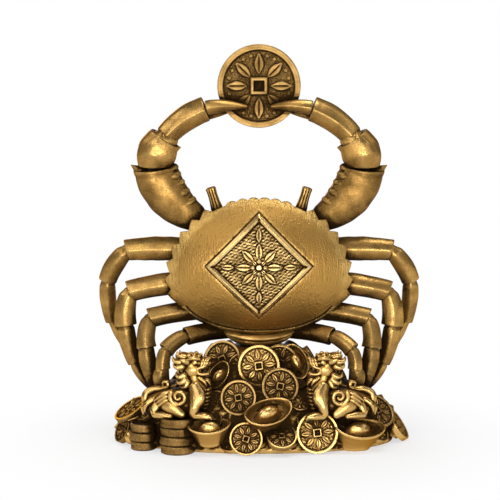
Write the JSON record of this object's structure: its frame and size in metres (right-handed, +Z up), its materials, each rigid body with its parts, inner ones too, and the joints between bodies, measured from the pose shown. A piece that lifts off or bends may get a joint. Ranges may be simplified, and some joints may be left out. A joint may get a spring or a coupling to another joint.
{
  "type": "crab figurine",
  "caption": "Cast-brass crab standing upright on an oval mound of coins and ingots, holding a round coin in its raised claws, with a small seated guardian beast on each side.",
  "frame": {"origin": "centre of the mound's flat underside, on the surface the figurine stands on", "axes": "+Z up, +X to the viewer's right, -Y to the front, where the shell and the plaque face"},
  "size_m": [0.1646, 0.0926, 0.2],
  "materials": {
    "crab_brass": "satin, dark in the hollows",
    "coin_brass": "satin, dark in the hollows",
    "base_brass": "satin, dark in the hollows"
  },
  "bodies": {
    "root": {"body_casting": "crab_brass", "carapace": "crab_brass", "coin_back_left": "coin_brass", "coin_back_low": "coin_brass", "coin_back_middle": "coin_brass", "coin_back_right": "coin_brass", "coin_centre": "coin_brass", "coin_front_left": "coin_brass", "coin_front_right": "coin_brass", "coin_front_slab": "coin_brass", "coin_left_end": "coin_brass", "coin_left_side": "coin_brass", "coin_lower_left": "coin_brass", "coin_lower_right": "coin_brass", "coin_right_end": "coin_brass", "coin_right_side": "coin_brass", "coin_stack_back": "coin_brass", "coin_stack_inner": "coin_brass", "coin_stack_outer": "coin_brass", "coin_upper_left": "coin_brass", "coin_upper_right": "coin_brass", "held_coin": "coin_brass", "ingot_back": "coin_brass", "ingot_front": "coin_brass", "ingot_left_end": "coin_brass", "ingot_left_front": "coin_brass", "ingot_left_upright": "coin_brass", "ingot_right_front": "coin_brass", "ingot_right_upright": "coin_brass", "left_claw_arm": "crab_brass", "left_claw_finger": "crab_brass", "left_claw_palm": "crab_brass", "left_claw_wrist": "crab_brass", "left_eye": "crab_brass", "left_guardian": "base_brass", "left_leg_1": "crab_brass", "left_leg_2": "crab_brass", "left_leg_3": "crab_brass", "left_leg_4": "crab_brass", "mound": "base_brass", "pearl": "coin_brass", "right_claw_arm": "crab_brass", "right_claw_finger": "crab_brass", "right_claw_palm": "crab_brass", "right_claw_wrist": "crab_brass", "right_eye": "crab_brass", "right_guardian": "base_brass", "right_leg_1": "crab_brass", "right_leg_2": "crab_brass", "right_leg_3": "crab_brass", "right_leg_4": "crab_brass", "shell_plaque": "crab_brass", "tail_bands": "crab_brass"}
  },
  "joints": []
}
